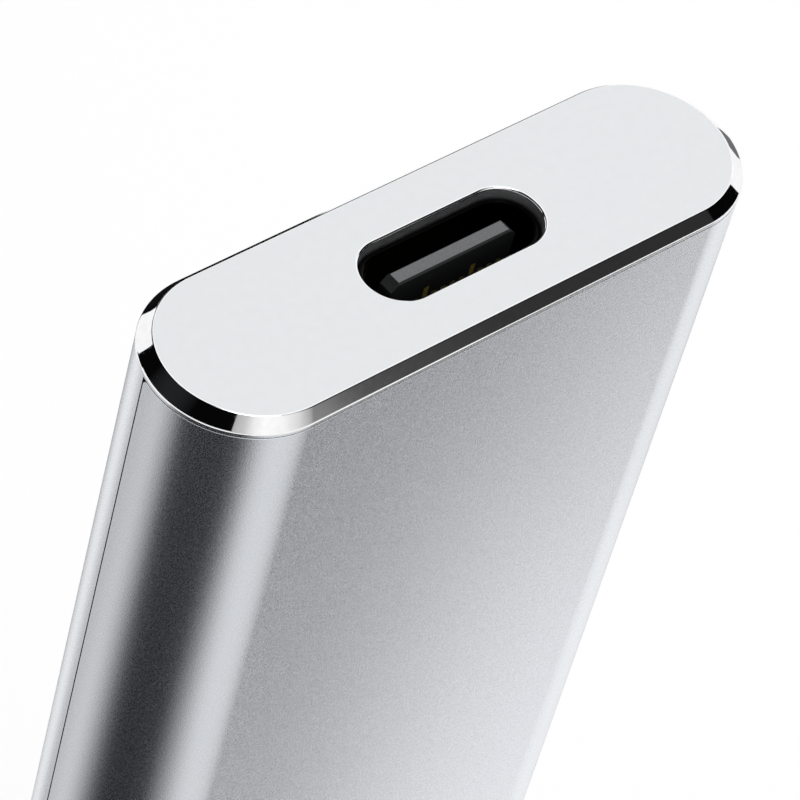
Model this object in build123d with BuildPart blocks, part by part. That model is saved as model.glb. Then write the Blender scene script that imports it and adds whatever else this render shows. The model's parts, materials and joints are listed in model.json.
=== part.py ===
from build123d import *
import os

os.makedirs("parts", exist_ok=True)

# Body, in millimetres: X across the width, Y from the front face to the rear face, Z up to the port end
body_width = 30.0
body_depth = 8.6
body_length = 92.0
wall = 1.0
end_wall = 1.6
bevel_drop = 0.53  # height of the polished bevel round each end face
bevel_side_inset = 0.42  # its width along the flat sides
bevel_end_inset = 0.62  # its width at the round sides
bevel_inner_round = 0.12  # rounding of its edge at the end face
bevel_outer_round = 0.18  # rounding of its edge at the rim
rim_height = 0.17  # straight edge of the end wall below its bevel

# Lapped joint between the two shells
seam_y = 1.1
cover_gap = 0.08
cover_corner_radius = 0.3
lip_height = 0.9
lip_rebate = 0.5
bond_thickness = 0.1
bond_margin = 0.1
bond_end_margin = 3.0
lap_clearance = 0.06

# Opening for the receptacle
port_width = 9.0
port_depth = 3.3
port_round = 0.12  # rounding of its edge at the end face

# Receptacle: drawn shell, moulded tongue, steel plates and contacts
socket_clearance = 0.03
socket_recess = 0.2
socket_length = 7.4
socket_wall = 0.3
socket_edge_break = 0.1
solder_tab_reach = 1.1
solder_tab_length = 1.2
solder_tab_offset = 2.6
insulator_clearance = 0.02
insulator_length = 2.0
tongue_recess = 0.5
tongue_width = 6.69
tongue_thickness = 0.7
tongue_corner = 0.38
tongue_edge_bevel = 0.085
mid_plate_thickness = 0.15
mid_plate_setback = 0.6
collar_step = 0.25
collar_length = 1.1
collar_thickness = 0.12
contact_count = 12
contact_pitch = 0.5
contact_width = 0.26
contact_thickness = 0.1
contact_setback = 1.1
signal_setback = 1.6
contact_tail = 1.2
long_contacts = (3, 8)  # the supply contacts, which reach nearest to the tip

# Circuit board, level with the middle of the receptacle, which sits in a notch in its edge
board_width = 24.8
board_thickness = 1.0
board_end_gap = 0.6
board_corner_radius = 1.0
notch_clearance = 0.15

# Board screws and the bosses that take them
screw_diameter = 1.6
screw_length = 3.0
screw_head_diameter = 2.8
screw_head_height = 0.9
screw_recess_width = 0.4
screw_recess_length = 1.5
screw_recess_depth = 0.45
screw_x = 9.6
screw_end_distance = 3.4
screw_hole_clearance = 0.1
thread_clearance = 0.05
boss_diameter = 3.4
boss_bore_depth = 2.4

# Parts on the board
controller_size = 11.0
controller_height = 0.9
controller_drop = 11.0
flash_width = 14.0
flash_length = 18.0
flash_height = 1.0
package_bevel = 0.06
pin_mark_diameter = 0.8
pin_mark_depth = 0.05
pin_mark_margin = 1.2
memory_width = 2.0
memory_length = 3.0
memory_height = 0.6
crystal_width = 2.5
crystal_length = 3.2
crystal_height = 0.8
side_part_x = 9.0
side_part_rise = 2.5
inductor_size = 3.0
inductor_height = 1.2
inductor_corner = 0.5
inductor_rise = 8.0
regulator_size = 2.0
regulator_height = 0.75
regulator_rise = 3.4
power_pitch = 4.6
power_count = 3
fuse_width = 1.6
fuse_length = 3.2
fuse_height = 0.6
fuse_drop = 3.5
surge_width = 2.5
surge_length = 1.0
surge_height = 0.5
surge_pitch = 4.0
surge_drop = 3.0
chip_part_width = 0.5
chip_part_length = 1.0
capacitor_height = 0.5
resistor_height = 0.35
terminal_length = 0.25
terminal_step = 0.03
capacitor_rows = 5
capacitor_pitch = 2.8
capacitor_gap = 1.6
resistor_rows = 4
resistor_pitch = 1.6
resistor_gap = 1.6
resistor_drop = 2.0

# Thermal pads
pad_overhang = 0.6

# Levels that follow from the sizes above
inner_depth = body_depth - 2 * wall
inner_rear = inner_depth / 2
face_width = body_width - 2 * bevel_end_inset
face_depth = body_depth - 2 * bevel_side_inset
rim_level = bevel_drop + rim_height
cover_bottom = rim_level + cover_gap
cover_length = body_length - 2 * cover_bottom
cover_edge = seam_y - cover_gap
inner_length = body_length - 2 * end_wall
lip_top = seam_y - lip_height
socket_mouth = body_length - socket_recess
socket_rear = socket_mouth - socket_length
socket_width = port_width - 2 * socket_clearance
socket_depth = port_depth - 2 * socket_clearance
socket_inner_width = socket_width - 2 * socket_wall
socket_inner_depth = socket_depth - 2 * socket_wall
insulator_front = socket_rear + insulator_length
tongue_tip = body_length - tongue_recess
board_bottom = end_wall + board_end_gap
board_top = body_length - end_wall - board_end_gap
board_length = board_top - board_bottom
board_face = board_thickness / 2
notch_width = socket_width + 2 * notch_clearance
notch_floor = socket_rear - notch_clearance
screw_span = board_length - 2 * screw_end_distance
controller_level = notch_floor - controller_drop
side_part_level = controller_level + side_part_rise
regulator_level = board_bottom + regulator_rise
inductor_level = board_bottom + inductor_rise
power_top = inductor_level + inductor_size / 2
flash_space = controller_level - controller_size / 2 - power_top
flash_pitch = flash_space / 2
flash_middle = power_top + flash_pitch
flash_lower = flash_middle - flash_pitch / 2
flash_upper = flash_middle + flash_pitch / 2
capacitor_span = flash_width + capacitor_gap
resistor_span = controller_size + resistor_gap

# The two faces of the board, each looking outwards with Z up the page
front_face = Plane(origin=(0, -board_face, 0), x_dir=(1, 0, 0), z_dir=(0, -1, 0))
rear_face = Plane(origin=(0, board_face, 0), x_dir=(-1, 0, 0), z_dir=(0, 1, 0))


def save(piece, label):
    """Names a finished piece and writes it."""
    piece.part.label = label
    export_step(piece.part, f"parts/{label}.step")


def body_outline(inset, mode=Mode.ADD):
    """The body's round-sided section, moved in from the outer surface by an inset."""
    SlotOverall(body_width - 2 * inset, body_depth - 2 * inset, mode=mode)


def band(lower, upper, mode):
    """A band right across the section between two levels of Y."""
    with Locations((0, lower)):
        Rectangle(2 * body_width, upper - lower, align=(Align.CENTER, Align.MIN), mode=mode)


def centred_box(plane, width, depth, length, mode=Mode.ADD):
    """A block of a given section that stands on a plane."""
    with BuildSketch(plane) as section:
        Rectangle(width, depth)
    extrude(section.sketch, amount=length, mode=mode)


# Rear shell: a milled tray with both end walls, a lip along its sides and four bosses for the board
with BuildPart() as rear_shell:
    with BuildSketch(Plane.XY.offset(bevel_drop)):
        body_outline(0)
    extrude(amount=body_length - 2 * bevel_drop)
    for rim, face in ((bevel_drop, 0), (body_length - bevel_drop, body_length)):
        with BuildSketch(Plane.XY.offset(rim)):
            body_outline(0)
        with BuildSketch(Plane.XY.offset(face)):
            SlotOverall(face_width, face_depth)
        loft(ruled=True)
    levels = rear_shell.edges().filter_by(Plane.XY).group_by(Axis.Z)
    fillet(levels[0] + levels[-1], radius=bevel_inner_round)
    outer_edges = rear_shell.edges().filter_by(Plane.XY)
    lower_rim = outer_edges.filter_by_position(Axis.Z, bevel_drop, bevel_drop)
    upper_rim = outer_edges.filter_by_position(Axis.Z, body_length - bevel_drop, body_length - bevel_drop)
    fillet(lower_rim + upper_rim, radius=bevel_outer_round)
    with BuildSketch(Plane.XY.offset(rim_level)):
        body_outline(-wall)
        body_outline(wall + lap_clearance, mode=Mode.SUBTRACT)
        band(seam_y, body_depth, Mode.SUBTRACT)
    extrude(amount=body_length - 2 * rim_level, mode=Mode.SUBTRACT)
    with BuildSketch(Plane.XY.offset(end_wall)):
        body_outline(wall)
    extrude(amount=inner_length, mode=Mode.SUBTRACT)
    with BuildSketch(Plane.XY.offset(end_wall)):
        body_outline(lip_rebate + bond_thickness)
        body_outline(wall, mode=Mode.SUBTRACT)
        band(lip_top, seam_y + lip_height, Mode.INTERSECT)
    extrude(amount=inner_length)
    with BuildSketch(rear_face):
        with Locations((0, body_length / 2)):
            with GridLocations(2 * screw_x, screw_span, 2, 2):
                Circle(boss_diameter / 2)
    extrude(amount=inner_rear + wall / 2 - board_face)
    with BuildSketch(rear_face):
        with Locations((0, body_length / 2)):
            with GridLocations(2 * screw_x, screw_span, 2, 2):
                Circle(screw_diameter / 2 + thread_clearance)
    extrude(amount=boss_bore_depth, mode=Mode.SUBTRACT)
    with BuildSketch(Plane.XY.offset(body_length)):
        SlotOverall(port_width, port_depth)
    extrude(amount=-end_wall, mode=Mode.SUBTRACT)
    end_face = rear_shell.faces().filter_by(Axis.Z).sort_by(Axis.Z)[-1]
    fillet(end_face.inner_wires().edges(), radius=port_round)
save(rear_shell, "rear_shell")

# Front cover: a milled channel let in between the end walls, with a rebate that takes the lip
with BuildPart() as front_cover:
    with BuildSketch(Plane.XY.offset(cover_bottom)):
        body_outline(0)
        body_outline(wall, mode=Mode.SUBTRACT)
        band(cover_edge, body_depth, Mode.SUBTRACT)
    extrude(amount=cover_length)
    fillet(front_cover.edges().filter_by(Axis.X).group_by(Axis.Y)[-1], radius=cover_corner_radius)
    with BuildSketch(Plane.XY.offset(cover_bottom)):
        body_outline(lip_rebate)
        band(lip_top - lap_clearance, body_depth, Mode.INTERSECT)
    extrude(amount=cover_length, mode=Mode.SUBTRACT)
save(front_cover, "front_cover")

# Bond strips: adhesive between the lip and the rebate, one along each side
for side, label in ((-1, "bond_strip_left"), (1, "bond_strip_right")):
    with BuildPart() as bond_strip:
        with BuildSketch(Plane.XY.offset(end_wall + bond_end_margin)):
            body_outline(lip_rebate)
            body_outline(lip_rebate + bond_thickness, mode=Mode.SUBTRACT)
            band(lip_top + bond_margin, cover_edge - bond_margin, Mode.INTERSECT)
            with Locations((side * body_width / 2, 0)):
                Rectangle(body_width, body_depth, mode=Mode.INTERSECT)
        extrude(amount=inner_length - 2 * bond_end_margin)
    save(bond_strip, label)

# Receptacle shell: a drawn steel tube with a rounded mouth and four tabs that lie on the board
with BuildPart() as usb_shell:
    with BuildSketch(Plane.XY.offset(socket_rear)):
        SlotOverall(socket_width, socket_depth)
    extrude(amount=socket_length)
    with BuildSketch(front_face):
        with Locations((0, socket_rear + socket_length / 2 - solder_tab_length / 2)):
            with GridLocations(0, solder_tab_offset, 1, 2):
                Rectangle(notch_width + 2 * solder_tab_reach, solder_tab_length)
    extrude(amount=socket_wall)
    with BuildSketch(Plane.XY.offset(socket_rear)):
        SlotOverall(socket_inner_width, socket_inner_depth)
    extrude(amount=socket_length, mode=Mode.SUBTRACT)
    chamfer(usb_shell.faces().sort_by(Axis.Z)[-1].edges(), length=socket_edge_break)
save(usb_shell, "usb_shell")


def contact_corners(front_end, row):
    """One contact seen from the side: flush in the tongue, then stepped out to lie on the board."""
    outer = tongue_thickness / 2
    inner = outer - contact_thickness
    tail_outer = board_face + contact_thickness
    tail_end = socket_rear - contact_tail
    step = socket_rear - contact_thickness
    corners = [
        (outer, front_end),
        (outer, socket_rear),
        (tail_outer, socket_rear),
        (tail_outer, tail_end),
        (board_face, tail_end),
        (board_face, step),
        (inner, step),
        (inner, front_end),
    ]
    return [(row * across, along) for across, along in corners]


def contact_row(row, mode=Mode.ADD):
    """A row of contacts side by side, with the supply contacts longer than the rest."""
    for index in range(contact_count):
        centre = (index - (contact_count - 1) / 2) * contact_pitch
        setback = contact_setback if index in long_contacts else signal_setback
        with BuildSketch(Plane.YZ.offset(centre - contact_width / 2)) as section:
            with BuildLine():
                Polyline(contact_corners(tongue_tip - setback, row), close=True)
            make_face()
        extrude(section.sketch, amount=contact_width, mode=mode)


# Contacts: one row on each face of the tongue
for row, label in ((-1, "usb_contacts_front"), (1, "usb_contacts_rear")):
    with BuildPart() as contacts:
        contact_row(row)
    save(contacts, label)

# Insulator: a moulded block that fills the back of the shell, with the stepped root and the tongue
with BuildPart() as usb_tongue:
    centred_box(Plane.XY.offset(socket_rear), tongue_width, tongue_thickness, tongue_tip - socket_rear)
    chamfer(usb_tongue.edges().filter_by(Axis.Y).group_by(Axis.Z)[-1], length=tongue_corner)
    chamfer(usb_tongue.faces().sort_by(Axis.Z)[-1].edges().filter_by(Axis.X), length=tongue_edge_bevel)
    with BuildSketch(Plane.XY.offset(socket_rear)):
        SlotOverall(
            socket_inner_width - 2 * insulator_clearance,
            socket_inner_depth - 2 * insulator_clearance,
        )
    extrude(amount=insulator_length)
    centred_box(
        Plane.XY.offset(insulator_front),
        tongue_width + 2 * collar_step,
        tongue_thickness + 2 * collar_step,
        collar_length,
    )
    centred_box(
        Plane.XY.offset(socket_rear),
        tongue_width,
        mid_plate_thickness,
        tongue_tip - mid_plate_setback - socket_rear,
        mode=Mode.SUBTRACT,
    )
    contact_row(-1, mode=Mode.SUBTRACT)
    contact_row(1, mode=Mode.SUBTRACT)
save(usb_tongue, "usb_tongue")

# Mid plate: steel sheet moulded into the middle of the tongue
with BuildPart() as usb_mid_plate:
    centred_box(
        Plane.XY.offset(socket_rear),
        tongue_width,
        mid_plate_thickness,
        tongue_tip - mid_plate_setback - socket_rear,
    )
save(usb_mid_plate, "usb_mid_plate")

# Ground collar: a folded steel band round the stepped root of the tongue
with BuildPart() as usb_ground_collar:
    centred_box(
        Plane.XY.offset(insulator_front),
        tongue_width + 2 * collar_step + 2 * collar_thickness,
        tongue_thickness + 2 * collar_step + 2 * collar_thickness,
        collar_length,
    )
    centred_box(
        Plane.XY.offset(insulator_front),
        tongue_width + 2 * collar_step,
        tongue_thickness + 2 * collar_step,
        collar_length,
        mode=Mode.SUBTRACT,
    )
save(usb_ground_collar, "usb_ground_collar")

# Circuit board: glass-epoxy sheet with a notch for the receptacle and four screw holes
with BuildPart() as circuit_board:
    with BuildSketch(front_face):
        with Locations((0, body_length / 2)):
            RectangleRounded(board_width, board_length, board_corner_radius)
        with Locations((0, notch_floor)):
            Rectangle(
                notch_width,
                board_top - notch_floor,
                align=(Align.CENTER, Align.MIN),
                mode=Mode.SUBTRACT,
            )
        with Locations((0, body_length / 2)):
            with GridLocations(2 * screw_x, screw_span, 2, 2):
                Circle(screw_diameter / 2 + screw_hole_clearance, mode=Mode.SUBTRACT)
    extrude(amount=-board_thickness)
save(circuit_board, "circuit_board")

# Board screws: four flat heads with a cross recess, seated on the front of the board
with BuildPart() as board_screws:
    with BuildSketch(front_face):
        with Locations((0, body_length / 2)):
            with GridLocations(2 * screw_x, screw_span, 2, 2):
                Circle(screw_head_diameter / 2)
    extrude(amount=screw_head_height)
    with BuildSketch(front_face.offset(screw_head_height)):
        with Locations((0, body_length / 2)):
            with GridLocations(2 * screw_x, screw_span, 2, 2):
                Rectangle(screw_recess_length, screw_recess_width)
                Rectangle(screw_recess_width, screw_recess_length)
    extrude(amount=-screw_recess_depth, mode=Mode.SUBTRACT)
    with BuildSketch(front_face):
        with Locations((0, body_length / 2)):
            with GridLocations(2 * screw_x, screw_span, 2, 2):
                Circle(screw_diameter / 2)
    extrude(amount=-screw_length)
save(board_screws, "board_screws")


def package(face, x, level, width, length, height, label):
    """A moulded chip package on a face of the board, with bevelled top edges and a mark at pin one."""
    with BuildPart() as chip:
        with BuildSketch(face):
            with Locations((x, level)):
                Rectangle(width, length)
        extrude(amount=height)
        top = chip.faces().sort_by(Axis(face.origin, face.z_dir))[-1]
        chamfer(top.edges(), length=package_bevel)
        if min(width, length) > 2 * pin_mark_margin + pin_mark_diameter:
            with BuildSketch(face.offset(height)):
                with Locations((x - width / 2 + pin_mark_margin, level + length / 2 - pin_mark_margin)):
                    Circle(pin_mark_diameter / 2)
            extrude(amount=-pin_mark_depth, mode=Mode.SUBTRACT)
    save(chip, label)


# Chips: the bridge controller by the port, and two flash packages on each face of the board
package(
    front_face,
    0,
    controller_level,
    controller_size,
    controller_size,
    controller_height,
    "controller_chip",
)
package(front_face, 0, flash_upper, flash_width, flash_length, flash_height, "flash_chip_1")
package(front_face, 0, flash_lower, flash_width, flash_length, flash_height, "flash_chip_2")
package(rear_face, 0, flash_upper, flash_width, flash_length, flash_height, "flash_chip_3")
package(rear_face, 0, flash_lower, flash_width, flash_length, flash_height, "flash_chip_4")
package(
    front_face,
    side_part_x,
    side_part_level,
    memory_width,
    memory_length,
    memory_height,
    "config_memory",
)
package(front_face, -side_part_x, side_part_level, crystal_width, crystal_length, crystal_height, "crystal")
package(front_face, side_part_x, notch_floor - fuse_drop, fuse_width, fuse_length, fuse_height, "input_fuse")

# Power inductors: three shielded blocks with rounded corners at the plain end of the board
with BuildPart() as power_inductors:
    with BuildSketch(front_face):
        with Locations((0, inductor_level)):
            with GridLocations(power_pitch, 0, power_count, 1):
                RectangleRounded(inductor_size, inductor_size, inductor_corner)
    extrude(amount=inductor_height)
save(power_inductors, "power_inductors")

# Regulators: one small square package below each inductor
with BuildPart() as regulators:
    with BuildSketch(front_face):
        with Locations((0, regulator_level)):
            with GridLocations(power_pitch, 0, power_count, 1):
                Rectangle(regulator_size, regulator_size)
    extrude(amount=regulator_height)
    chamfer(regulators.faces().group_by(Axis.Y)[0].edges(), length=package_bevel)
save(regulators, "regulators")

# Surge arrays: two flat packages on the data lines just below the receptacle
with BuildPart() as surge_arrays:
    with BuildSketch(front_face):
        with Locations((0, notch_floor - surge_drop)):
            with GridLocations(surge_pitch, 0, 2, 1):
                Rectangle(surge_width, surge_length)
    extrude(amount=surge_height)
    chamfer(surge_arrays.faces().group_by(Axis.Y)[0].edges(), length=package_bevel)
save(surge_arrays, "surge_arrays")


def chip_parts(level, span, pitch, rows, height):
    """Two columns of small chip parts, each a ceramic body with a wrapped terminal at both ends."""
    with BuildSketch(front_face) as bodies:
        with Locations((0, level)):
            with GridLocations(span, pitch, 2, rows):
                Rectangle(chip_part_width - 2 * terminal_step, chip_part_length)
    extrude(bodies.sketch, amount=height - terminal_step)
    with BuildSketch(front_face) as terminals:
        with Locations((0, level)):
            with GridLocations(span, pitch, 2, rows):
                with GridLocations(0, chip_part_length - terminal_length, 1, 2):
                    Rectangle(chip_part_width, terminal_length)
    extrude(terminals.sketch, amount=height)


# Capacitors: a column down each side of both front flash packages
with BuildPart() as capacitors:
    chip_parts(flash_upper, capacitor_span, capacitor_pitch, capacitor_rows, capacitor_height)
    chip_parts(flash_lower, capacitor_span, capacitor_pitch, capacitor_rows, capacitor_height)
save(capacitors, "capacitors")

# Resistors: a shorter column down each side of the controller
with BuildPart() as resistors:
    chip_parts(
        controller_level - resistor_drop,
        resistor_span,
        resistor_pitch,
        resistor_rows,
        resistor_height,
    )
save(resistors, "resistors")


def thermal_pad(face, level, width, length, chip_height, label):
    """A soft pad that fills the space between the top of a chip and the wall of the shell."""
    with BuildPart() as pad:
        with BuildSketch(face.offset(chip_height)):
            with Locations((0, level)):
                Rectangle(width, length)
        extrude(amount=inner_rear - board_face - chip_height)
    save(pad, label)


# Thermal pads: one over each pair of flash packages and one over the controller
flash_pad_width = flash_width + 2 * pad_overhang
flash_pad_length = flash_pitch + flash_length + 2 * pad_overhang
controller_pad_size = controller_size + 2 * pad_overhang
thermal_pad(front_face, flash_middle, flash_pad_width, flash_pad_length, flash_height, "flash_pad_front")
thermal_pad(rear_face, flash_middle, flash_pad_width, flash_pad_length, flash_height, "flash_pad_rear")
thermal_pad(
    front_face,
    controller_level,
    controller_pad_size,
    controller_pad_size,
    controller_height,
    "controller_pad",
)
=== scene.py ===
import json

import bmesh
import bpy
import numpy as np
from mathutils import Matrix


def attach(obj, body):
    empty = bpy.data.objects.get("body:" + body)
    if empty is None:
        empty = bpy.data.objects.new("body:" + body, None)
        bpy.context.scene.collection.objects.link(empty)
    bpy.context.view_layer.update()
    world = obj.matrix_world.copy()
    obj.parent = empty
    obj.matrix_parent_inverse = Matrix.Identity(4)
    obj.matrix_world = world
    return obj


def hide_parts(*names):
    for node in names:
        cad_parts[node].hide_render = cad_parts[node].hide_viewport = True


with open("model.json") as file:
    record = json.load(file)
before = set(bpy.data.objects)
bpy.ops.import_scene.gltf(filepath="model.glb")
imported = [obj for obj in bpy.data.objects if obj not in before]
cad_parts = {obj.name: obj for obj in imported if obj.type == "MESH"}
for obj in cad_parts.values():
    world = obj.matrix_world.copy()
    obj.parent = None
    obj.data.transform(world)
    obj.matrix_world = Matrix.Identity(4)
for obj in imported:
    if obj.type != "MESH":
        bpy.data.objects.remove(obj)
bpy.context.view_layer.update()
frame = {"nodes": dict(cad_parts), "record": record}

# Rear shell
# A tray milled from one block of aluminium, with both end walls standing on it. It is bead-blasted and
# anodised, and the bevels round its ends and its port are then cut bright with a diamond tool.
MM = 0.001
body_width, body_depth, body_length = frame["record"]["size"]["bbox_m"]
body_radius = body_depth / 2
body_flat = (body_width - body_depth) / 2
wall = 1.0 * MM
end_wall = 1.6 * MM
bevel_drop = 0.53 * MM
bevel_side_inset = 0.42 * MM
bevel_end_inset = 0.62 * MM
bevel_inner_round = 0.12 * MM
bevel_outer_round = 0.18 * MM
rim_level = 0.70 * MM
seam_level = 1.1 * MM
lap_clearance = 0.06 * MM
lip_level = 0.2 * MM
lip_inset = 0.6 * MM
port_radius = 1.65 * MM
port_flat = 2.85 * MM
port_round = 0.12 * MM
face_collar = 0.05 * MM
boss_radius = 1.7 * MM
boss_bore = 0.85 * MM
boss_bore_depth = 2.4 * MM
boss_sink = 0.5 * MM
board_face = 0.5 * MM
screw_x = 9.6 * MM
screw_end = 5.6 * MM
ARC_STEPS = 48
FLAT_STEPS = 10
INNER_ROUND_STEPS = 8
OUTER_ROUND_STEPS = 12
PORT_ROUND_STEPS = 6
LIP_STEPS = 4
BOSS_STEPS = 32
WELD = 0.002 * MM
spine_radius = WELD / 4
SMOOTH_ANGLE = np.radians(24)


def half_section(radius, flat, level, rear):
    """Half of a round-sided section, from right to left: an arc that starts at the level of Y, the flat run,
    and the same arc mirrored. The rear half passes the +Y side and the front half the -Y side."""
    side = 1 if rear else -1
    turn = np.linspace(side * np.arcsin(level / radius), np.pi / 2, ARC_STEPS + 1)
    right = np.column_stack([flat + radius * np.cos(turn), radius * np.sin(turn)])
    run = np.linspace(flat, -flat, FLAT_STEPS + 1)[1:-1]
    middle = np.column_stack([run, np.full(len(run), radius)])
    half = np.concatenate([right, middle, right[::-1] * (-1, 1)])
    return half * (1, side)


def whole_section(radius, flat, level):
    """The rear half followed by the front half turned round, with the shared ends given once."""
    rear = half_section(radius, flat, level, True)
    front = half_section(radius, flat, level, False)
    return np.concatenate([rear, front[-2:0:-1]])


def lift(points, height):
    """Points of a section set at a height of Z."""
    return np.column_stack([points, np.full(len(points), height)])


def unit(way):
    """Directions of length 1: each way divided by its length."""
    return way / np.linalg.norm(way, axis=-1, keepdims=True)


def rounded(start, corner, end, radius, steps):
    """A corner of a profile rounded by an arc: the arc touches both legs, and its angle runs in even steps. Given
    rows of starts, corners and ends, it rounds the corner of each row."""
    start, corner, end = (np.array(point, float) for point in (start, corner, end))
    back, ahead = unit(start - corner), unit(end - corner)
    half_angle = np.arccos(np.sum(back * ahead, axis=-1, keepdims=True)) / 2
    middle, across = unit(back + ahead), unit(ahead - back)
    centre = corner + middle * radius / np.sin(half_angle)
    turn = np.multiply.outer(np.linspace(-1, 1, steps + 1), np.pi / 2 - half_angle)
    return centre + radius * (np.sin(turn) * across - np.cos(turn) * middle)


class Skin:
    """Grids of points, each one patch of a surface, that are welded into one closed mesh."""

    def __init__(self):
        self.points, self.faces, self.finishes, self.count = [], [], [], 0

    def patch(self, rows, finish=0, closed=False):
        """A grid of four-cornered faces: rows of points, joined round when the rows are closed loops."""
        grid = np.array(rows, float)
        index = np.arange(grid.shape[0] * grid.shape[1]).reshape(grid.shape[:2]) + self.count
        if closed:
            index = np.concatenate([index, index[:, :1]], axis=1)
        corners = (index[:-1, :-1], index[:-1, 1:], index[1:, 1:], index[1:, :-1])
        faces = np.stack(corners, axis=-1).reshape(-1, 4)
        self.points.append(grid.reshape(-1, 3))
        self.faces.append(faces)
        self.finishes.append(np.full(len(faces), finish))
        self.count += grid.shape[0] * grid.shape[1]

    def piece(self, name, *materials):
        """Welds the patches, turns the faces outwards and keeps the edges between patches crisp."""
        mesh = bpy.data.meshes.new(name)
        mesh.from_pydata(np.concatenate(self.points), [], np.concatenate(self.faces))
        mesh.polygons.foreach_set("material_index", np.concatenate(self.finishes))
        shape = bmesh.new()
        shape.from_mesh(mesh)
        bmesh.ops.remove_doubles(shape, verts=shape.verts, dist=WELD)
        bmesh.ops.dissolve_degenerate(shape, edges=shape.edges, dist=WELD)
        bmesh.ops.recalc_face_normals(shape, faces=shape.faces)
        shape.to_mesh(mesh)
        shape.free()
        mesh.shade_smooth()
        mesh.set_sharp_from_angle(angle=SMOOTH_ANGLE)
        for material in materials:
            mesh.materials.append(material)
        made = bpy.data.objects.new(name, mesh)
        bpy.context.scene.collection.objects.link(made)
        weights = made.modifiers.new("even_normals", "WEIGHTED_NORMAL")
        weights.keep_sharp = True
        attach(made, "root")
        return made


def linear(code):
    """An sRGB hex colour as linear red, green, blue and alpha."""
    value = np.array([int(code[i:i + 2], 16) for i in (1, 3, 5)]) / 255
    value = np.where(value <= 0.04045, value / 12.92, ((value + 0.055) / 1.055) ** 2.4)
    return (*value, 1.0)


def add(tree, kind, inputs=None, stops=(), **settings):
    """Adds a shader node with its settings, and sets each input to a value or links it to an output. A colour ramp
    takes stops, which are pairs of a position and a colour: the first two are the ramp's own, and the rest are new."""
    made = tree.nodes.new(kind)
    for name, value in settings.items():
        setattr(made, name, value)
    for number, (position, colour) in enumerate(stops):
        ramp = made.color_ramp.elements
        stop = ramp[number] if number < 2 else ramp.new(position)
        stop.position, stop.color = position, colour
    for name, value in (inputs or {}).items():
        if isinstance(value, bpy.types.NodeSocket):
            tree.links.new(value, made.inputs[name])
        else:
            made.inputs[name].default_value = value
    return made


# Nearly all of a noise lies between these two values
NOISE_LOW, NOISE_HIGH = 0.3, 0.7


def grained(name, dark, light, grain, roughness, relief, metallic=0.0):
    """A surface whose colour, gloss and height vary with one fine noise. The grain and the relief are in metres."""
    made = bpy.data.materials.new(name)
    made.use_nodes = True
    tree = made.node_tree
    shader = tree.nodes["Principled BSDF"]
    place = add(tree, "ShaderNodeTexCoord")
    noise = add(tree, "ShaderNodeTexNoise", {"Vector": place.outputs["Object"], "Scale": 1 / grain, "Detail": 1.0})
    value = noise.outputs["Fac"]
    colours = ((NOISE_LOW, linear(dark)), (NOISE_HIGH, linear(light)))
    tone = add(tree, "ShaderNodeValToRGB", {"Fac": value}, colours)
    smoothest, dullest = roughness
    gloss = add(
        tree,
        "ShaderNodeMapRange",
        {"Value": value, "From Min": NOISE_LOW, "From Max": NOISE_HIGH, "To Min": smoothest, "To Max": dullest},
    )
    bump = add(tree, "ShaderNodeBump", {"Height": value, "Strength": 1.0, "Distance": relief})
    tree.links.new(tone.outputs["Color"], shader.inputs["Base Color"])
    tree.links.new(gloss.outputs["Result"], shader.inputs["Roughness"])
    tree.links.new(bump.outputs["Normal"], shader.inputs["Normal"])
    shader.inputs["Metallic"].default_value = metallic
    return made


# Bead-blasted, clear anodised aluminium: pits under a tenth of a millimetre across scatter the reflections, so
# that it has a soft sheen with a fine sparkle
satin = grained("bead_blasted_anodised_aluminium", "#e6e9ee", "#f0f3f8", 0.06 * MM, (0.22, 0.29), 0.0036 * MM, 1.0)
# Diamond-cut aluminium: a near mirror. The tool's marks are too fine to show, and are drawn coarser as faint
# changes of its gloss
polished = grained("diamond_cut_aluminium", "#f4f4f5", "#f9f9fa", 0.3 * MM, (0.03, 0.06), 0.0, 1.0)
# Lapped and anodised aluminium on the end faces: even and dull. Its scratches are too fine to show, and are drawn
# coarser as faint clouds
lapped = grained("lapped_anodised_aluminium", "#e6e8ea", "#e8eaec", 0.5 * MM, (0.355, 0.365), 0.0, 1.0)
# Milled aluminium in the wall of the port: dulled by the cutter's marks, a tenth of a millimetre apart
milled = grained("milled_aluminium", "#c6c8ca", "#d2d4d6", 0.1 * MM, (0.46, 0.54), 0.0, 1.0)
SATIN, POLISHED, LAPPED, MILLED = range(4)

shell = Skin()
rear_outside, rear_inside = (
    half_section(body_radius - inset, body_flat, seam_level, True) for inset in (0, wall)
)
seam_insets = np.array([0, lip_inset, wall, wall + lap_clearance])
front_steps = [half_section(body_radius - inset, body_flat, seam_level, False) for inset in seam_insets]
front_plug = front_steps[-1]
seam_x = body_flat + np.sqrt((body_radius - seam_insets) ** 2 - seam_level ** 2)

# The bevel: straight lines from the rim in to the narrower outline of the end face, with both edges rounded.
# Each row of the profile holds, point by point round the body, the way in from the rim and the drop
rim_line = whole_section(body_radius, body_flat, seam_level)
face_flat = body_flat - (bevel_end_inset - bevel_side_inset)
way_in = whole_section(body_radius - bevel_side_inset, face_flat, seam_level) - rim_line
crest = np.linalg.norm(way_in, axis=1, keepdims=True) * (1, 0)
foot = np.full_like(crest, bevel_drop) * (0, 1)
bevel_rows = np.concatenate([
    rounded(crest + (bevel_drop, 0), crest, foot, bevel_inner_round, INNER_ROUND_STEPS),
    rounded(crest, foot, foot + (0, bevel_drop), bevel_outer_round, OUTER_ROUND_STEPS),
])

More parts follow.
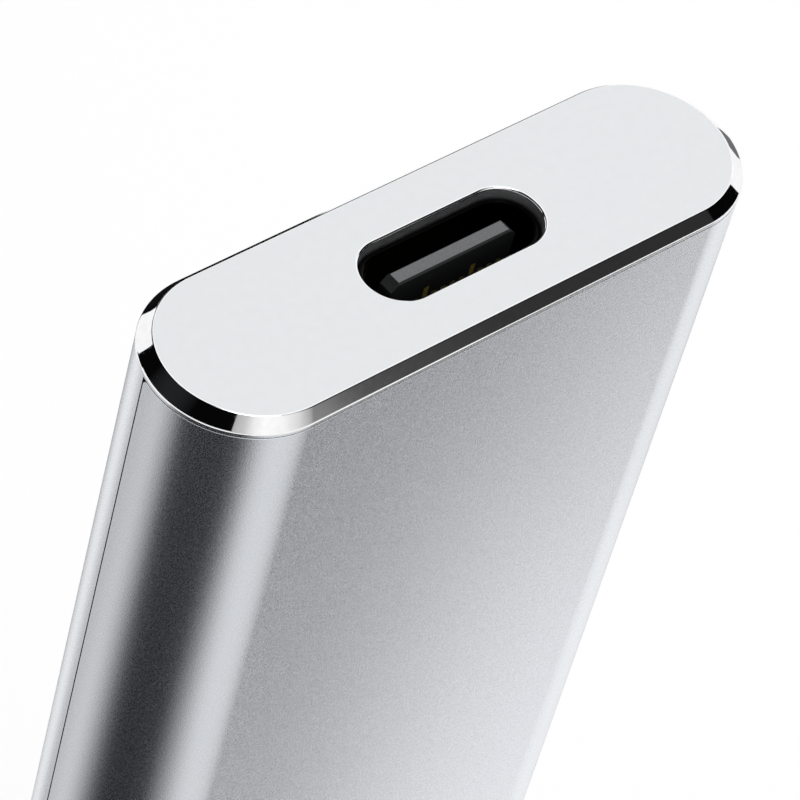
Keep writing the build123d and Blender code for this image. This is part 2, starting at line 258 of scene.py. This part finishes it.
for face_height, inward, has_port in ((body_length, -1, True), (0, 1, False)):
    inner_height = face_height + inward * end_wall
    rim_height = face_height + inward * rim_level

    # The middle of the end wall: the port with its rounded edge, or a line along which the plain wall closes. The
    # end face keeps a narrow collar along its edges, so that their rounding doesn't shade the flat of it
    if has_port:
        port_rows = [
            lift(whole_section(port_radius + outset, port_flat, 0), face_height + inward * drop)
            for outset, drop in rounded((0, end_wall), (0, 0), (end_wall, 0), port_round, PORT_ROUND_STEPS)
        ]
        centre_inside = whole_section(port_radius, port_flat, 0)
        shell.patch([lift(centre_inside, inner_height), port_rows[0]], finish=MILLED, closed=True)
        shell.patch(port_rows, finish=POLISHED, closed=True)
        opening_edges = [
            lift(whole_section(port_radius + outset, port_flat, 0), face_height)
            for outset in (port_round, port_round + face_collar)
        ]
    else:
        centre_inside = whole_section(spine_radius, body_flat, 0)
        opening_edges = [lift(centre_inside, face_height)]

    bevel_loops = [
        np.column_stack([rim_line + unit(way_in) * row[:, :1], face_height + inward * row[:, 1]])
        for row in bevel_rows
    ]
    crest_collar = lift(rim_line + unit(way_in) * (bevel_rows[0][:, :1] + face_collar), face_height)
    shell.patch([*opening_edges, crest_collar, bevel_loops[0]], finish=LAPPED, closed=True)
    shell.patch(bevel_loops, finish=POLISHED, closed=True)
    shell.patch([bevel_loops[-1], lift(rim_line, rim_height)], finish=SATIN, closed=True)

    # The front of the end wall steps in under its rim, where the cover fits round it
    half = len(rear_inside)
    rear_centre = centre_inside[:half]
    front_centre = np.concatenate([centre_inside[:1], centre_inside[:half - 2:-1]])
    shell.patch([*(lift(step, rim_height) for step in front_steps), lift(front_plug, inner_height)])
    shell.patch([lift(front_plug, inner_height), lift(front_centre, inner_height)])
    shell.patch([lift(rear_inside, inner_height), lift(rear_centre, inner_height)])

    # Either side of the seam: the face of the end wall at the seam, and the sliver behind the plug
    for side, end in ((1, 0), (-1, -1)):
        seam_line = np.column_stack([side * seam_x, np.full(len(seam_x), seam_level)])
        shell.patch([lift(seam_line, rim_height), lift(seam_line, inner_height)])
        sliver = np.array([seam_line[2:], rear_centre[[end, end]]])
        shell.patch([lift(row, inner_height) for row in sliver])

# The tray between the end walls: its outer wall, the seam face, the lip and the inside, carried along Z
tray_heights = np.array([end_wall, body_length - end_wall])
shell.patch([lift(rear_outside, height) for height in (rim_level, *tray_heights, body_length - rim_level)])
shell.patch([lift(rear_inside, height) for height in tray_heights])
lip_levels = np.linspace(seam_level, lip_level, LIP_STEPS + 1)
for side, end in ((1, 0), (-1, -1)):
    lip_outer, lip_inner = (
        np.column_stack([side * (body_flat + np.sqrt((body_radius - inset) ** 2 - lip_levels ** 2)), lip_levels])
        for inset in (lip_inset, wall)
    )
    path = np.concatenate([rear_outside[[end]], lip_outer, lip_inner[::-1]])
    shell.patch([lift(path, height) for height in tray_heights])
    for height in tray_heights:
        shell.patch([lift(lip_outer, height), lift(lip_inner, height)])

# Bosses: tubes that stand on the inside of the rear wall and take the board screws. Each is a profile of radii and
# levels of Y, turned round
boss_turn = np.linspace(0, 2 * np.pi, BOSS_STEPS, endpoint=False)
boss_root = body_radius - wall + boss_sink
boss_profile = [
    (0.0, board_face + boss_bore_depth),
    (boss_bore, board_face + boss_bore_depth),
    (boss_bore, board_face),
    (boss_radius, board_face),
    (boss_radius, boss_root),
    (0.0, boss_root),
]
for x in (-screw_x, screw_x):
    for z in (screw_end, body_length - screw_end):
        rings = [
            np.column_stack([x + r * np.cos(boss_turn), np.full(BOSS_STEPS, y), z + r * np.sin(boss_turn)])
            for r, y in boss_profile
        ]
        shell.patch(rings, closed=True)
rear_shell = shell.piece("rear_shell_skin", satin, polished, lapped, milled)
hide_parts("rear_shell")

# Circuit board and what is soldered to it
# A glass-epoxy sheet with chips, ceramic parts and ferrite blocks, held on the bosses by four steel screws.
# All of it is closed in by the shells.


def dress(material, *nodes):
    """Gives CAD nodes a finish in place of their plain one."""
    for name in nodes:
        frame["nodes"][name].data.materials.clear()
        frame["nodes"][name].data.materials.append(material)


# Solder mask over glass cloth: glossy dark green, with the waves of the cloth under it
solder_mask = grained("green_solder_mask", "#0c3a22", "#12482b", 0.6 * MM, (0.35, 0.45), 0.002 * MM)
dress(solder_mask, "circuit_board")
# Moulded epoxy: dull black, with the fine bite of an eroded mould
moulded_epoxy = grained("moulded_epoxy", "#1b1b1c", "#232324", 0.08 * MM, (0.5, 0.62), 0.002 * MM)
dress(moulded_epoxy, "controller_chip", "flash_chip_1", "flash_chip_2", "flash_chip_3", "flash_chip_4")
dress(moulded_epoxy, "config_memory", "regulators", "surge_arrays")
# Fired ceramic: a tan body with a slightly uneven, half-matt skin
fired_ceramic = grained("fired_ceramic", "#8f7350", "#a88b63", 0.15 * MM, (0.45, 0.55), 0.002 * MM)
dress(fired_ceramic, "capacitors", "resistors", "input_fuse")
# Pressed ferrite: dark grey and matt, with the grain of the powder
pressed_ferrite = grained("pressed_ferrite", "#3a3a3b", "#454546", 0.1 * MM, (0.55, 0.65), 0.003 * MM)
dress(pressed_ferrite, "power_inductors")
# Stamped stainless steel: grey and half bright, with the rolling marks of the strip
stamped_steel = grained("stamped_steel", "#a9a9aa", "#b8b8b9", 0.1 * MM, (0.28, 0.36), 0.001 * MM, 1.0)
dress(stamped_steel, "board_screws", "crystal", "usb_mid_plate", "usb_ground_collar")

# Thermal pads
# Soft silicone filled with ceramic powder, pressed between the chips and the shells.
# Filled silicone: pale blue-grey and matt, mottled by the powder
filled_silicone = grained("filled_silicone", "#8d98a8", "#9aa5b4", 0.2 * MM, (0.6, 0.7), 0.004 * MM)
dress(filled_silicone, "flash_pad_front", "flash_pad_rear", "controller_pad")

# Receptacle shell
# A tube drawn from steel strip and plated in black nickel, with a rounded mouth just inside the port. Four
# tabs at its sides are soldered to the board.
socket_radius = 1.62 * MM
socket_wall = 0.3 * MM
socket_round = 0.12 * MM
socket_mouth = body_length - 0.5 * MM
socket_rear = body_length - 7.6 * MM
tab_width = 11.44 * MM
tab_length = 1.2 * MM
tab_levels = (1.8 * MM, 4.4 * MM)
LIP_ROUND_STEPS = 4
# Black nickel on drawn steel: nearly black, and smooth enough to mirror the light at the mouth
black_nickel = grained("black_nickel_plate", "#060606", "#090909", 0.12 * MM, (0.16, 0.22), 0.0005 * MM, 1.0)

# The tube's wall is a profile of insets and heights from the mouth, carried round the section
socket = Skin()
socket_depth = socket_mouth - socket_rear
mid_wall = (0.5 * socket_wall, 0)
socket_profile = np.concatenate([
    [(0, -socket_depth)],
    rounded((0, -socket_depth), (0, 0), mid_wall, socket_round, LIP_ROUND_STEPS),
    rounded(mid_wall, (socket_wall, 0), (socket_wall, -socket_depth), socket_round, LIP_ROUND_STEPS),
    [(socket_wall, -socket_depth)],
])
socket_loops = [
    lift(whole_section(socket_radius - inset, port_flat, 0), socket_mouth + height)
    for inset, height in socket_profile
]
socket.patch([*socket_loops, socket_loops[0]], closed=True)

# Each tab is four corners, carried from the board's face out by the thickness of the strip and closed at its middle
tab_outer = board_face + socket_wall
for level in tab_levels:
    for side in (1, -1):
        low, high = socket_rear + level - tab_length / 2, socket_rear + level + tab_length / 2
        root, tip = side * (port_flat + socket_radius - socket_wall), side * tab_width / 2
        corners = np.array([(root, low), (tip, low), (tip, high), (root, high)])
        centre = corners.mean(axis=0)
        layers = [
            np.insert(centre + (corners - centre) * share, 1, -height, axis=1)
            for share, height in ((0, board_face), (1, board_face), (1, tab_outer), (0, tab_outer))
        ]
        socket.patch(layers, closed=True)
usb_shell = socket.piece("usb_shell_skin", black_nickel)
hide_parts("usb_shell")

# Tongue and contacts
# A dark glass-filled polymer moulding with a steel plate inside. The contacts are stamped from copper alloy,
# plated with gold and moulded in flush on both faces.
tongue_tip = body_length - 0.5 * MM
lit_tip_fade = 0.005 * MM
# Moulded black polymer: half matt. The flat of its tip is painted a lighter grey: a painted highlight for the light
# that falls on the tip, which the dark sides down in the port don't get
glass_filled_polymer = grained("glass_filled_polymer", "#2b2c2d", "#333435", 0.09 * MM, (0.42, 0.52), 0.001 * MM)
tree = glass_filled_polymer.node_tree
shader = tree.nodes["Principled BSDF"]
moulded = shader.inputs["Base Color"].links[0].from_socket
grain_value = moulded.node.inputs["Fac"].links[0].from_socket
# Painted highlight: the lighter grey given to the flat of the tip in place of the light that falls on it
painted_lit_tip_colours = ((NOISE_LOW, linear("#7b7c7e")), (NOISE_HIGH, linear("#87888a")))
painted_lit_tip = add(tree, "ShaderNodeValToRGB", {"Fac": grain_value}, painted_lit_tip_colours).outputs["Color"]
place = add(tree, "ShaderNodeTexCoord")
height = add(tree, "ShaderNodeSeparateXYZ", {"Vector": place.outputs["Object"]})
# Painted highlight mask by height: 0 on the sides, rising to 1 on the flat of the tip and the last sliver below it
lit_tip_mask = add(
    tree,
    "ShaderNodeMapRange",
    {"Value": height.outputs["Z"], "From Min": tongue_tip - 2 * lit_tip_fade, "From Max": tongue_tip - lit_tip_fade},
)
# For colours, a Mix node's factor is input 0, its two colours are inputs 6 and 7, and its result is output 2
tone = add(tree, "ShaderNodeMix", {0: lit_tip_mask.outputs["Result"], 6: moulded, 7: painted_lit_tip}, data_type="RGBA")
tree.links.new(tone.outputs[2], shader.inputs["Base Color"])
dress(glass_filled_polymer, "usb_tongue")
# Gold over nickel: warm yellow, dulled by handling
gold_plate = grained("gold_plate", "#d8bd55", "#e6cd6c", 0.1 * MM, (0.42, 0.5), 0.0005 * MM, 0.5)
dress(gold_plate, "usb_contacts_front", "usb_contacts_rear")

# Bond strips
# Thin black adhesive in the lap of the two shells. Only its edge shows, as the dark line of the seam.
# Acrylic foam: black and matt, with the cut cells of the foam
acrylic_adhesive = grained("acrylic_adhesive", "#101011", "#18181a", 0.1 * MM, (0.6, 0.75), 0.002 * MM)
dress(acrylic_adhesive, "bond_strip_left", "bond_strip_right")

# Front cover
# A channel milled from aluminium, with the same blasted finish. Its edges lap over the lip of the rear shell,
# and its ends tuck in under the rims of the end walls.
cover_gap = 0.08 * MM
cover_end_gap = 0.05 * MM
cover_low = rim_level + cover_end_gap
cover_high = body_length - cover_low
cover_edge = seam_level - cover_gap
cover_corner = 0.3 * MM
cover_soften = 0.03 * MM
rebate_inset = 0.5 * MM
rebate_level = lip_level - lap_clearance
FLANK_STEPS = 6
CORNER_STEPS = 6
SOFTEN_STEPS = 3
RISE_DIGITS = 9


def cover_columns(inset, edge, part):
    """Part of the cover's section at an inset: the right flank from the seam edge down to the rebate, the front
    from one rebate round to the other, or the left flank back up to the seam edge."""
    radius = body_radius - inset
    if part == "front":
        return half_section(radius, body_flat, rebate_level, False)
    levels = np.linspace(edge, rebate_level, FLANK_STEPS + 1)
    flank = np.column_stack([body_flat + np.sqrt(radius ** 2 - levels ** 2), levels])
    return flank if part == "right" else flank[::-1] * (-1, 1)


def quarter_rises(radius, steps):
    """Heights along a quarter round, in even steps of its angle: the radius times one less the cosine."""
    return radius * (1 - np.cos(np.linspace(0, np.pi / 2, steps + 1)))


def stands_back(radius, rise):
    """How far a quarter round stands back from the edge at a rise: the radius less the other leg of a right triangle
    whose long side is the radius and whose first leg is what the rise leaves of it."""
    return radius - np.sqrt(radius ** 2 - np.maximum(radius - rise, 0) ** 2)


# Rows along Z: each has a height, the seam edge's level, which the corner radius lowers near the ends, and how far
# the outer edge is softened. Rises are rounded to a nanometre, so that none is there twice
rises = np.concatenate([quarter_rises(cover_corner, CORNER_STEPS), quarter_rises(cover_soften, SOFTEN_STEPS)])
rises = np.unique(rises.round(RISE_DIGITS))
heights = np.concatenate([cover_low + rises, (cover_high - rises)[::-1]])
there_and_back = np.concatenate([rises, rises[::-1]])
edges = cover_edge - stands_back(cover_corner, there_and_back)
softens = stands_back(cover_soften, there_and_back)
rows = list(zip(heights, edges, softens))

cover = Skin()
for part in ("right", "front", "left"):
    inner_inset = wall if part == "front" else rebate_inset
    cover.patch([lift(cover_columns(soften, edge, part), height) for height, edge, soften in rows])
    cover.patch([lift(cover_columns(inner_inset, edge, part), height) for height, edge, _ in rows])
    for height, edge, soften in (rows[0], rows[-1]):
        insets = (soften, rebate_inset, wall) if part == "front" else (soften, rebate_inset)
        cover.patch([lift(cover_columns(inset, edge, part), height) for inset in insets])
# The seam edges, and the shoulders of the rebates
for part, end in (("right", 0), ("left", -1)):
    cover.patch([
        [(*cover_columns(inset, edge, part)[end], height) for inset in (soften, rebate_inset)]
        for height, edge, soften in rows
    ])
    cover.patch([
        [(*cover_columns(inset, edge, "front")[end], height) for inset in (rebate_inset, wall)]
        for height, edge, _ in rows
    ])
front_cover = cover.piece("front_cover_skin", satin)
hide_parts("front_cover")

# Floor
# A plain white sheet. It is white to the eye and in reflections, and still takes the drive's soft shadow.
floor_half = 3.0
shadow_zone, bare_zone = 0.25, 0.7
shadow_zone_white = 0.7


def show(name, points, faces, material, only_reflected=False):
    """A stage mesh of given points and faces. One that is only reflected is hidden from the eye and casts no
    shadow."""
    mesh = bpy.data.meshes.new(name)
    mesh.from_pydata(points, [], faces)
    mesh.materials.append(material)
    made = bpy.data.objects.new(name, mesh)
    bpy.context.scene.collection.objects.link(made)
    if only_reflected:
        made.visible_camera = False
        made.visible_diffuse = False
        made.visible_shadow = False
        made.visible_transmission = False
    return made


def bare_material(name):
    """A material with an empty node tree, and that tree."""
    made = bpy.data.materials.new(name)
    made.use_nodes = True
    made.node_tree.nodes.clear()
    return made, made.node_tree


# White paper: an even white with no gloss. Near the drive part of it is lit by the lamps alone, and so shows the shadow
white_paper, tree = bare_material("white_paper")
white_paper.cycles.emission_sampling = "NONE"
rays = add(tree, "ShaderNodeLightPath")
seen = add(
    tree,
    "ShaderNodeMath",
    {0: rays.outputs["Is Camera Ray"], 1: rays.outputs["Is Glossy Ray"]},
    operation="ADD",
)
seen = add(
    tree,
    "ShaderNodeMath",
    {0: seen.outputs[0], 1: rays.outputs["Is Transmission Ray"]},
    operation="ADD",
    use_clamp=True,
)
place = add(tree, "ShaderNodeTexCoord")
away = add(tree, "ShaderNodeVectorMath", {0: place.outputs["Object"]}, operation="LENGTH")
bare = add(
    tree,
    "ShaderNodeMapRange",
    {
        "Value": away.outputs["Value"],
        "From Min": shadow_zone,
        "From Max": bare_zone,
        "To Min": shadow_zone_white,
        "To Max": 1.0,
    },
)
share = add(tree, "ShaderNodeMath", {0: seen.outputs[0], 1: bare.outputs["Result"]}, operation="MULTIPLY")
paper = add(tree, "ShaderNodeBsdfDiffuse", {"Color": linear("#f4f4f4")})
glow = add(tree, "ShaderNodeEmission", {"Color": linear("#ffffff"), "Strength": 1.0})
mixed = add(tree, "ShaderNodeMixShader", {"Fac": share.outputs[0], 1: paper.outputs[0], 2: glow.outputs[0]})
add(tree, "ShaderNodeOutputMaterial", {"Surface": mixed.outputs[0]})
square = np.array([(-1, -1), (1, -1), (1, 1), (-1, 1)]) * floor_half
floor = show("floor", lift(square, 0.0), [(0, 1, 2, 3)], white_paper)

# Flags
# Cards that lie on the floor round the drive and show only in its reflections. Rings of film, printed black in a
# gradient that leaves more or less of the floor to be seen, shade its blasted sides, and a wedge of film shades the
# front toward the port. The bevels mirror the black card and the grey one.
film_height, wedge_height, card_height = 0.4 * MM, 0.5 * MM, 0.6 * MM
ring_inner, ring_middle, ring_outer = 12 * MM, 80 * MM, 170 * MM
side_outer, right_outer = 260 * MM, 105 * MM
wedge_apex = np.array((9.5, -20)) * MM
wedge_inner, wedge_outer = 0.5 * MM, 150 * MM
wedge_mid, wedge_far = 60 * MM, 78 * MM
black_inner, black_outer = 100 * MM, 1100 * MM
grey_inner, grey_outer = 205 * MM, 360 * MM
RING_STEPS, RIGHT_STEPS, CARD_STEPS = 120, 40, 24


def band_faces(steps):
    """Four-cornered faces between two rows of points that follow each other."""
    near = np.arange(steps)
    return np.column_stack([near, near + 1, near + steps + 2, near + steps + 1])


def fan(name, material, height, angles, radii, centre=(0, 0), steps=CARD_STEPS):
    """A card lying at a height over the floor: part of a ring between two radii and two angles in degrees, turned
    from -Y toward -X about a centre."""
    angle, radius = np.meshgrid(np.radians(np.linspace(*angles, steps + 1)), radii)
    points = np.stack([-radius * np.sin(angle), -radius * np.cos(angle)], axis=-1).reshape(-1, 2) + centre
    return show(name, lift(points, height), band_faces(steps), material, only_reflected=True)


def printed(name, shares):
    """Black print on clear film. The share of the floor that is seen through it is one number, or pairs of an angle
    in degrees and the share there, with even runs between them."""
    made, tree = bare_material(name)
    seen_share = shares
    if not isinstance(shares, float):
        place = add(tree, "ShaderNodeTexCoord")
        along = add(tree, "ShaderNodeSeparateXYZ", {"Vector": place.outputs["Object"]})
        turn = add(tree, "ShaderNodeMath", {0: along.outputs["X"], 1: along.outputs["Y"]}, operation="ARCTAN2")
        spread = add(tree, "ShaderNodeMapRange", {"Value": turn.outputs[0], "From Min": -np.pi, "From Max": np.pi})
        # The ramp starts and ends with the first share, since its two ends meet straight in front
        first_share = shares[0][1]
        turns = [(0.0, first_share), *((angle % 360 / 360, share) for angle, share in shares), (1.0, first_share)]
        stops = [(position, (share, share, share, 1.0)) for position, share in turns]
        seen_share = add(tree, "ShaderNodeValToRGB", {"Fac": spread.outputs["Result"]}, stops).outputs["Color"]
    ink = add(tree, "ShaderNodeBsdfDiffuse", {"Color": linear("#191b20")})
    clear = add(tree, "ShaderNodeBsdfTransparent")
    mixed = add(tree, "ShaderNodeMixShader", {"Fac": seen_share, 1: ink.outputs[0], 2: clear.outputs[0]})
    add(tree, "ShaderNodeOutputMaterial", {"Surface": mixed.outputs[0]})
    return made


def matt_card(name, code):
    """Card of one colour with no gloss."""
    made, tree = bare_material(name)
    matt = add(tree, "ShaderNodeBsdfDiffuse", {"Color": linear(code)})
    add(tree, "ShaderNodeOutputMaterial", {"Surface": matt.outputs[0]})
    return made


# Both rings are alike behind the drive. Elsewhere the inner one lets a little more of the floor be seen
shares_behind = (
    (156, 0.45), (164, 1.0), (172, 1.0), (-178, 0.90), (-168, 0.58), (-158, 0.30), (-142, 0.10), (-128, 0.28),
)
inner_film = printed("inner_film", [
    (1, 0.78), (12, 0.72), (20, 0.54), (28, 0.34), (36, 0.20), (45, 0.03), (84, 0.01), (92, 0.05),
    (100, 0.22), (107, 0.40), (116, 0.62), (125, 0.72), (140, 0.60), *shares_behind,
    (-118, 0.26), (-111, 0.42), (-105, 0.72), (-98, 0.90), (-76, 1.0), (-48, 1.0), (-38, 0.44), (-29, 0.58),
    (-20, 0.74),
])
outer_film = printed("outer_film", [
    (1, 0.78), (15, 0.66), (25, 0.30), (35, 0.02), (95, 0.02), (105, 0.35), (120, 0.65), (140, 0.55), *shares_behind,
    (-118, 0.24), (-111, 0.35), (-105, 0.60), (-98, 0.84), (-76, 0.94), (-60, 1.0), (-48, 1.0), (-38, 0.44),
    (-29, 0.58), (-20, 0.72),
])
fan("inner_card", inner_film, film_height, angles=(-180, 180), radii=(ring_inner, ring_middle), steps=RING_STEPS)
fan("outer_card", outer_film, film_height, angles=(-100, 180), radii=(ring_middle, ring_outer), steps=RING_STEPS)
fan("side_card", outer_film, film_height, angles=(28, 104), radii=(ring_outer, side_outer))
fan("right_card", outer_film, film_height, angles=(-180, -100), radii=(ring_middle, right_outer), steps=RIGHT_STEPS)

# The wedge widens in two paler steps toward its far end
front_film, mid_film, far_film = printed("front_film", 0.03), printed("mid_film", 0.30), printed("far_film", 0.85)
fan("front_flag", front_film, wedge_height, (-59.6, -41.5), (wedge_inner, wedge_outer), centre=wedge_apex)
fan("mid_flag", mid_film, wedge_height, (-62, -59.6), (wedge_mid, wedge_outer), centre=wedge_apex)
fan("far_flag", far_film, wedge_height, (-72, -62), (wedge_far, wedge_outer), centre=wedge_apex)

black_card, grey_card = matt_card("black_card", "#1c1c1e"), matt_card("grey_card", "#98989a")
fan("back_flag", black_card, card_height, angles=(-172, -139.5), radii=(black_inner, black_outer))
fan("right_flag", grey_card, card_height, angles=(-113, -102), radii=(grey_inner, grey_outer))

# Studio
# Dark walls with a faint sheen behind the drive on its left, and a white surround for the eye only. A white panel
# stands behind the drive, and low white walls in front of it, on its left and on its right.
sheen_way = (-0.676, 0.360, 0.643)
sheen_edge = 0.93
dark_level, sheen_level = 0.002, 0.018
panel_y = 1.1
panel_left, panel_right, panel_top = -0.411, 0.155, 0.52
wall_away = 1.2
WALL_STEPS = 36

world = bpy.data.worlds.new("studio")
bpy.context.scene.world = world
world.use_nodes = True
world.cycles.sampling_method = "NONE"
tree = world.node_tree
tree.nodes.clear()
rays = add(tree, "ShaderNodeLightPath")
way = add(tree, "ShaderNodeTexCoord")
toward = add(tree, "ShaderNodeVectorMath", {0: way.outputs["Generated"], 1: sheen_way}, operation="DOT_PRODUCT")
sheen = add(
    tree,
    "ShaderNodeMapRange",
    {
        "Value": toward.outputs["Value"],
        "From Min": sheen_edge,
        "From Max": 1.0,
        "To Min": dark_level,
        "To Max": sheen_level,
    },
)
dim = add(tree, "ShaderNodeBackground", {"Color": linear("#f4f8ff"), "Strength": sheen.outputs["Result"]})
white = add(tree, "ShaderNodeBackground", {"Color": linear("#ffffff"), "Strength": 1.0})
to_eye = rays.outputs["Is Camera Ray"]
mixed = add(tree, "ShaderNodeMixShader", {"Fac": to_eye, 1: dim.outputs[0], 2: white.outputs[0]})
add(tree, "ShaderNodeOutputWorld", {"Surface": mixed.outputs[0]})


def upright(left, right, y, low, high):
    """The corners of an upright sheet that faces along Y."""
    return np.array([(left, y, low), (right, y, low), (right, y, high), (left, y, high)])


def low_wall(name, first, last, elevation):
    """Part of an upright ring round the drive, between two angles in degrees turned from -Y toward -X. From the top
    of the drive, its own top stands at the elevation."""
    turn = np.radians(np.linspace(first, last, WALL_STEPS + 1))
    line = wall_away * np.column_stack([-np.sin(turn), -np.cos(turn)])
    top = body_length + wall_away * np.tan(np.radians(elevation))
    points = np.concatenate([lift(line, 0.0), lift(line, top)])
    return show(name, points, band_faces(WALL_STEPS), white_paper, only_reflected=True)


panel = upright(panel_left, panel_right, panel_y, 0.0, panel_top)
show("back_panel", panel, [(0, 1, 2, 3)], white_paper, only_reflected=True)
low_wall("low_wall", first=-34, last=145, elevation=14)
low_wall("right_wall", first=-135, last=-79, elevation=26)

# Softboxes
# A large one over the drive and behind it on the right, which the end face mirrors, a smaller one overhead, and one
# in front that fades out toward the right. The bright cut of the bevel mirrors the front one.
top_centre = np.array((0, 0, body_length))
key_way = np.array((0.44, 0.29, 0.85))
key_away, key_size, key_radiance = 0.7, 0.85, 1.05
overhead_place = (-0.04, -0.22, 1.0)
overhead_width, overhead_height, overhead_radiance = 0.5, 0.4, 2.6
sheet_place = (0.05, 0.1, 1.0)
sheet_size, sheet_radiance = 1.2, 1.9
front_y = -0.45
front_left, front_right, front_low, front_high = -0.433, 0.42, 0.14, 0.95
front_radiance = 1.05


def softbox(name, place, aim, width, height, radiance):
    """A rectangular lamp at a place, turned to an aim. Its power is its radiance times its area times pi."""
    lamp = bpy.data.lights.new(name, "AREA")
    lamp.shape = "RECTANGLE"
    lamp.size, lamp.size_y = width, height
    lamp.energy = radiance * width * height * np.pi
    made = bpy.data.objects.new(name, lamp)
    made.visible_camera = False
    back = unit(np.array(place, float) - np.array(aim, float))
    right = unit(np.cross((0, 0, 1), back))
    turned = Matrix(np.column_stack([right, np.cross(back, right), back]).tolist()).to_4x4()
    turned.translation = place
    made.matrix_world = turned
    bpy.context.scene.collection.objects.link(made)
    return made


softbox("key_softbox", top_centre + key_away * key_way, top_centre, key_size, key_size, key_radiance)
softbox("top_softbox", overhead_place, top_centre, overhead_width, overhead_height, overhead_radiance)
# This one lights the floor alone, so that the sheet is white round the drive's shadow
sheet_lamp = softbox("sheet_softbox", sheet_place, (0.0, 0.0, 0.0), sheet_size, sheet_size, sheet_radiance)
sheet_only = bpy.data.collections.new("sheet_only")
sheet_only.objects.link(floor)
sheet_lamp.light_linking.receiver_collection = sheet_only

# White cloth over the front softbox, lit less toward both sides: pairs of X and the share of the full light there
front_glow, tree = bare_material("front_softbox_cloth")
front_shares = (
    (front_left, 0.42), (-0.40, 0.46), (-0.284, 0.58), (-0.20, 0.86), (-0.117, 1.0), (0.016, 0.94), (0.14, 0.71),
    (0.25, 0.38), (0.279, 0.22), (0.283, 0.115), (0.288, 0.082), (0.294, 0.064), (0.308, 0.046), (0.32, 0.031),
    (front_right, 0.02),
)
place = add(tree, "ShaderNodeTexCoord")
across = add(tree, "ShaderNodeSeparateXYZ", {"Vector": place.outputs["Object"]})
spread = add(
    tree,
    "ShaderNodeMapRange",
    {"Value": across.outputs["X"], "From Min": front_left, "From Max": front_right},
)
front_width = front_right - front_left
stops = [((x - front_left) / front_width, (share, share, share, 1.0)) for x, share in front_shares]
fade = add(tree, "ShaderNodeValToRGB", {"Fac": spread.outputs["Result"]}, stops)
glow = add(tree, "ShaderNodeEmission", {"Color": fade.outputs["Color"], "Strength": front_radiance})
add(tree, "ShaderNodeOutputMaterial", {"Surface": glow.outputs[0]})
front = upright(front_left, front_right, front_y, front_low, front_high)
front_softbox = show("front_softbox", front, [(0, 1, 2, 3)], front_glow)
front_softbox.visible_camera = False

# Camera
# Above the port end, in front of the drive and to its left, with a long lens.
camera_place = np.array((-101.91, -79.02, 219.55)) * MM
camera_aim = np.array((-7.34, -5.39, 92.0)) * MM
camera_roll = np.radians(16.27)
camera_data = bpy.data.cameras.new("camera")
camera_data.sensor_width = 36.0
camera_data.lens = 203.67
camera_data.clip_start = 0.01
camera = bpy.data.objects.new("camera", camera_data)
bpy.context.scene.collection.objects.link(camera)
ahead = unit(camera_aim - camera_place)
level = unit(np.cross(ahead, (0, 0, 1)))
right = np.cos(camera_roll) * level + np.sin(camera_roll) * np.cross(level, ahead)
turned = Matrix(np.column_stack([right, np.cross(right, ahead), -ahead]).tolist()).to_4x4()
turned.translation = camera_place
camera.matrix_world = turned
bpy.context.scene.camera = camera
bpy.context.scene.view_settings.view_transform = "Standard"
